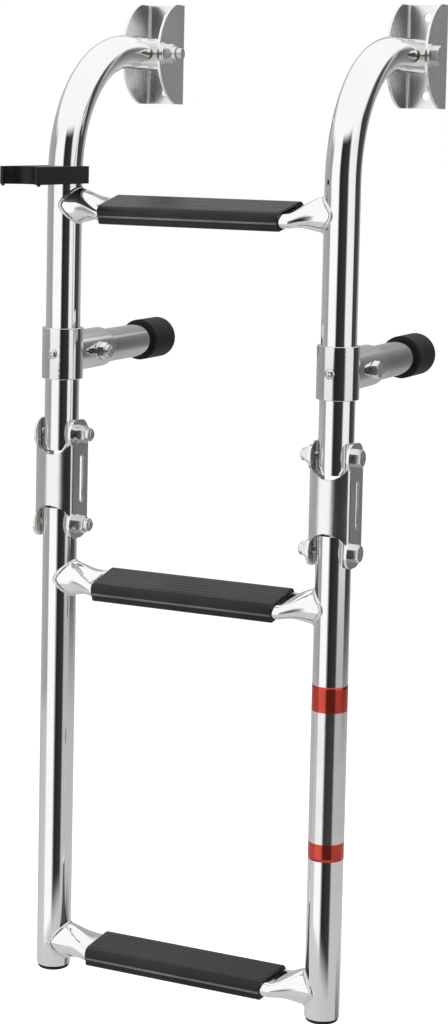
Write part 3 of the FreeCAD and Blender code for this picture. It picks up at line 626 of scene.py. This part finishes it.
def filmMaterial():
    look = filmSleeve
    material, tree, surface = newMaterial("filmSleeve")
    place = addNode(tree, "ShaderNodeSeparateXYZ")
    coordinates = tree.nodes.new("ShaderNodeTexCoord")
    tree.links.new(coordinates.outputs["Object"], place.inputs[0])
    edge = look["bandEdge"]
    upperFrom, lowerTo = look["high"] - look["highBand"], look["low"] + look["lowBand"]
    upper = spread(tree, place.outputs["Z"], 0.0, 1.0, upperFrom - edge, upperFrom + edge)
    lower = spread(tree, place.outputs["Z"], 1.0, 0.0, lowerTo - edge, lowerTo + edge)
    band = combined(tree, "MAXIMUM", upper, lower)
    cloud = grain(tree, look["cloud"], detail=3.0)
    clear = tone(tree, spread(tree, cloud, 0.0, 1.0), *look["clear"])
    red = tone(tree, spread(tree, cloud, 0.0, 1.0), *look["red"])
    mixed = tree.nodes.new("ShaderNodeMix")
    mixed.data_type = "RGBA"
    tree.links.new(band, mixed.inputs["Factor"])
    tree.links.new(clear, mixed.inputs["A"])
    tree.links.new(red, mixed.inputs["B"])
    tree.links.new(mixed.outputs["Result"], surface.inputs["Base Color"])
    tree.links.new(spread(tree, band, *look["metal"], 0.0, 1.0), surface.inputs["Metallic"])
    fine = grain(tree, look["fine"], detail=2.0)
    tree.links.new(spread(tree, fine, *look["rough"]), surface.inputs["Roughness"])
    bumps(tree, surface, fine, look["bump"], look["strength"])
    return material


def addFilmSleeve():
    mesh = bpy.data.meshes.new("rail_film")
    work = bmesh.new()
    look = filmSleeve
    around, along = look["around"], look["along"]
    height = look["high"] - look["low"]
    rail = railAt["right"]
    skins = []
    for lift in (look["lift"], look["thick"]):
        skin = []
        for j in range(along + 1):
            z = look["low"] + height * j / along
            row = []
            for i in range(around + 1):
                share = i / around
                a = math.radians(look["start"] + look["turn"] * share)
                over = look["lap"] * max(0.0, min(1.0, (share - look["lapFrom"]) / look["lapRun"]))
                r = tubeRadius + lift + over
                row.append(work.verts.new((rail.x + r * math.cos(a), rail.y + r * math.sin(a), z)))
            skin.append(row)
        skins.append(skin)
    inner, outer = skins
    for j in range(along):
        for i in range(around):
            for skin in skins:
                work.faces.new((skin[j][i], skin[j][i + 1], skin[j + 1][i + 1], skin[j + 1][i]))
    for i in range(around):
        for j in (0, along):
            work.faces.new((inner[j][i], inner[j][i + 1], outer[j][i + 1], outer[j][i]))
    for j in range(along):
        for i in (0, around):
            work.faces.new((inner[j][i], inner[j + 1][i], outer[j + 1][i], outer[j][i]))
    bmesh.ops.recalc_face_normals(work, faces=work.faces)
    work.to_mesh(mesh)
    work.free()
    newPiece("rail_film", mesh, filmMaterial(), "lower_section")


addFilmSleeve()
print("film sleeve wrapped")


# Camera, at the photograph's viewing angle

cameraLook = {
    "place": (0.8186, -1.6219, -0.0505),
    "azimuth": 25.24,
    "down": 5.03,
    "roll": 1.21,
    "lens": 79.88,
    "sensor": 36.0,
    "shift": (0.00128, -0.1873),
    "clip": (0.05, 60.0),
}


def addCamera():
    data = bpy.data.cameras.new("camera")
    camera = bpy.data.objects.new("camera", data)
    scene.collection.objects.link(camera)
    around, down, roll = (math.radians(cameraLook[key]) for key in ("azimuth", "down", "roll"))
    level = math.cos(down)
    ahead = Vector((-math.sin(around) * level, math.cos(around) * level, -math.sin(down)))
    right = Vector((math.cos(around), math.sin(around), 0))
    up = right.cross(ahead)
    turnedRight = right * math.cos(roll) + up * math.sin(roll)
    turnedUp = up * math.cos(roll) - right * math.sin(roll)
    turn = Matrix((turnedRight, turnedUp, -ahead)).transposed().to_4x4()
    camera.matrix_world = Matrix.Translation(cameraLook["place"]) @ turn
    data.lens = cameraLook["lens"]
    data.sensor_width = cameraLook["sensor"]
    data.shift_x, data.shift_y = cameraLook["shift"]
    data.clip_start, data.clip_end = cameraLook["clip"]
    scene.camera = camera


addCamera()


# Studio: pale floor, white surroundings, and the dark and grey cards that polished steel mirrors

studio = {
    "middle": (0.11, -0.15, 0),
    "floorLevel": -1.0,
    "floorSize": 14.0,
    "floorColour": (0.64, 0.64, 0.64),
    "floorWhite": 0.70,
    "floorMirrored": 0.02,
    "skyLight": 0.55,
    "cardStep": 3,  # degrees
    "lampsAimAt": (0.11, -0.15, -0.35),
    "mirrorings": 10,  # the plates of a bracket mirror each other many times
}
cards = {
    # start and end round the ladder in degrees, 0 in front and 90 on the right, the foot's distance
    # and height, the head's distance and its height at both ends, the brightness at both ends, and
    # how much fades out at the sides in degrees and at the head and foot in metres
    "greyLeft": {"start": -168, "end": -46, "foot": (2.0, -1.0), "head": (2.0, 1.0, 1.0),
                 "bright": (0.50, 0.33), "soft": 9, "headFade": 0.5, "footFade": 0.05},
    "softFront": {"start": -54, "end": 4, "foot": (0.95, -0.995), "head": (1.3, 0.7, 0.7),
                  "bright": (1.0, 1.0), "soft": 9, "headFade": 0.3, "footFade": 0.02},
    "paleRight": {"start": 56, "end": 114, "foot": (1.7, -0.85), "head": (1.7, 0.8, 0.8),
                  "bright": (0.92, 0.86), "soft": 12, "headFade": 0.4, "footFade": 0.35},
    "darkRight": {"start": 103, "end": 152, "foot": (1.6, -0.97), "head": (1.6, 0.62, 0.62),
                  "bright": (0.03, 0.075), "soft": 7, "headFade": 0.25, "footFade": 0.3},
    "edgeRight": {"start": 147, "end": 181, "foot": (1.62, -0.97), "head": (1.62, 0.62, 0.62),
                  "bright": (0.05, 0.52), "soft": 6, "headFade": 0.3, "footFade": 0.3},
    "lowRight": {"start": 108, "end": 152, "foot": (0.50, -0.995), "head": (1.1, -0.995, -0.995),
                 "bright": (0.03, 0.34), "soft": 10, "headFade": 0.30, "footFade": 0.05},
    "greyBack": {"start": 166, "end": 212, "foot": (1.8, -1.0), "head": (1.8, 1.05, 1.05),
                 "bright": (0.34, 0.50), "soft": 10, "headFade": 0.4, "footFade": 0.05},
    "darkFront": {"start": 0, "end": 67, "foot": (0.89, -0.99), "head": (1.0, 0.74, 0.60),
                  "bright": (0.012, 0.045), "soft": 12, "headFade": 0.28, "footFade": 0.06},
}


def cardMaterial(name, look):
    # brightness that runs from one end to the other and fades out softly at all four sides
    material = bpy.data.materials.new(name)
    material.use_nodes = True
    tree = material.node_tree
    tree.nodes.clear()
    output = tree.nodes.new("ShaderNodeOutputMaterial")
    clear = tree.nodes.new("ShaderNodeBsdfTransparent")
    glow = tree.nodes.new("ShaderNodeEmission")
    layout = addNode(tree, "ShaderNodeUVMap", uv_map="place")
    place = tree.nodes.new("ShaderNodeSeparateXYZ")
    tree.links.new(layout.outputs["UV"], place.inputs[0])
    height = math.dist(look["foot"], look["head"][:2])
    side = look["soft"] / (look["end"] - look["start"])
    head, foot = look["headFade"] / height, look["footFade"] / height
    fades = [spread(tree, place.outputs["X"], 0.0, 1.0, 0.0, side, smooth=True),
             spread(tree, place.outputs["X"], 1.0, 0.0, 1.0 - side, 1.0, smooth=True),
             spread(tree, place.outputs["Y"], 0.0, 1.0, 0.0, foot, smooth=True),
             spread(tree, place.outputs["Y"], 1.0, 0.0, 1.0 - head, 1.0, smooth=True)]
    mask = fades[0]
    for fade in fades[1:]:
        mask = combined(tree, "MULTIPLY", mask, fade)
    bright = spread(tree, place.outputs["X"], *look["bright"], 0.0, 1.0)
    tree.links.new(bright, glow.inputs["Strength"])
    both = tree.nodes.new("ShaderNodeMixShader")
    tree.links.new(mask, both.inputs[0])
    tree.links.new(clear.outputs[0], both.inputs[1])
    tree.links.new(glow.outputs[0], both.inputs[2])
    tree.links.new(both.outputs[0], output.inputs["Surface"])
    return material


def addCard(name, look):
    steps = int((look["end"] - look["start"]) / studio["cardStep"])
    centre = Vector(studio["middle"])
    distance, atStart, atEnd = look["head"]
    points = []
    layout = []
    for i in range(steps + 1):
        share = i / steps
        a = math.radians(look["start"] + (look["end"] - look["start"]) * share)
        head = (distance, atStart + (atEnd - atStart) * share)
        for row, (reach, z) in enumerate((look["foot"], head)):
            points.append(centre + Vector((math.sin(a) * reach, -math.cos(a) * reach, z)))
            layout.append((share, row))
    faces = [(2 * i, 2 * i + 1, 2 * i + 3, 2 * i + 2) for i in range(steps)]
    mesh = bpy.data.meshes.new(name)
    mesh.from_pydata(points, [], faces)
    uv = mesh.uv_layers.new(name="place")
    for loop in mesh.loops:
        uv.data[loop.index].uv = layout[loop.vertex_index]
    card = bpy.data.objects.new(name, mesh)
    scene.collection.objects.link(card)
    mesh.materials.append(cardMaterial(name, look))
    card.visible_camera = False
    card.visible_diffuse = False
    card.visible_transmission = False
    card.visible_shadow = False


for name, look in cards.items():
    addCard(name, look)


def addFloor():
    half = studio["floorSize"] / 2
    mesh = bpy.data.meshes.new("floor")
    level = studio["floorLevel"]
    corners = [(x * half, y * half, level) for x, y in ((-1, -1), (1, -1), (1, 1), (-1, 1))]
    mesh.from_pydata(corners, [], [(0, 1, 2, 3)])
    floor = bpy.data.objects.new("floor", mesh)
    scene.collection.objects.link(floor)
    material = bpy.data.materials.new("paleFloor")
    material.use_nodes = True
    tree = material.node_tree
    tree.nodes.clear()
    output = tree.nodes.new("ShaderNodeOutputMaterial")
    matt = addNode(tree, "ShaderNodeBsdfDiffuse")
    matt.inputs["Color"].default_value = (*studio["floorColour"], 1)
    glow = addNode(tree, "ShaderNodeEmission")
    path = tree.nodes.new("ShaderNodeLightPath")
    seen = spread(tree, path.outputs["Is Camera Ray"], 0.0, studio["floorWhite"], 0.0, 1.0)
    mirrored = spread(tree, path.outputs["Is Glossy Ray"], 0.0, studio["floorMirrored"], 0.0, 1.0)
    tree.links.new(combined(tree, "MAXIMUM", seen, mirrored), glow.inputs["Strength"])
    total = tree.nodes.new("ShaderNodeAddShader")
    tree.links.new(matt.outputs[0], total.inputs[0])
    tree.links.new(glow.outputs[0], total.inputs[1])
    tree.links.new(total.outputs[0], output.inputs["Surface"])
    mesh.materials.append(material)


addFloor()


def addSky():
    # white to the camera and to what mirrors it, softer as a light
    world = bpy.data.worlds.new("studioSky")
    scene.world = world
    world.use_nodes = True
    tree = world.node_tree
    tree.nodes.clear()
    output = tree.nodes.new("ShaderNodeOutputWorld")
    background = tree.nodes.new("ShaderNodeBackground")
    background.inputs["Color"].default_value = (1, 1, 1, 1)
    path = tree.nodes.new("ShaderNodeLightPath")
    seen = combined(tree, "MAXIMUM", path.outputs["Is Camera Ray"], path.outputs["Is Glossy Ray"])
    either = combined(tree, "MAXIMUM", seen, path.outputs["Is Transmission Ray"])
    strength = spread(tree, either, studio["skyLight"], 1.0, 0.0, 1.0)
    tree.links.new(strength, background.inputs["Strength"])
    tree.links.new(background.outputs[0], output.inputs["Surface"])


addSky()

lamps = {
    "keyLamp": {"place": (-0.9, -1.3, 1.3), "size": 1.2, "power": 16},
    "topLamp": {"place": (0.3, 0.1, 1.7), "size": 1.6, "power": 16},
}
for name, look in lamps.items():
    lamp = bpy.data.lights.new(name, "AREA")
    lamp.energy = look["power"]
    lamp.size = look["size"]
    holder = bpy.data.objects.new(name, lamp)
    scene.collection.objects.link(holder)
    holder.visible_glossy = False  # the cards and the sky are what the steel mirrors
    holder.location = look["place"]
    aim = Vector(studio["lampsAimAt"]) - Vector(look["place"])
    holder.rotation_mode = "QUATERNION"
    holder.rotation_quaternion = aim.to_track_quat("-Z", "Y")
scene.cycles.glossy_bounces = studio["mirrorings"]
scene.view_settings.view_transform = "Standard"
print("camera and studio set")
